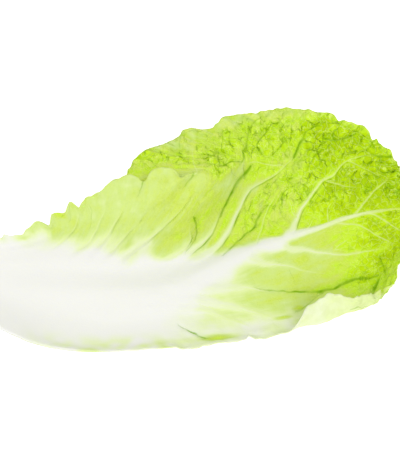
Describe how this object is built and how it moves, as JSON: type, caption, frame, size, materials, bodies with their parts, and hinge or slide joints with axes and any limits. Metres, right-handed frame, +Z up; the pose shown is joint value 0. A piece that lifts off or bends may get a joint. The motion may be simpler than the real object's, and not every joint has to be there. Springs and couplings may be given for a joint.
{
  "type": "napa cabbage leaf",
  "caption": "Loose napa cabbage leaf lying inner side up, with a broad white stalk, a branching midrib and a thin crinkled yellow-green blade whose wings rise, fold and curl.",
  "frame": {"origin": "middle of the leaf's box in plan, on the surface that the leaf lies on", "axes": "+X along the leaf from the cut end of the stalk to the tip, +Z up out of the trough that the two wings make"},
  "size_m": [0.3137, 0.1607, 0.0497],
  "materials": {
    "leaf_flesh": "satin"
  },
  "bodies": {
    "root": {"napa_leaf": "leaf_flesh"}
  },
  "joints": []
}
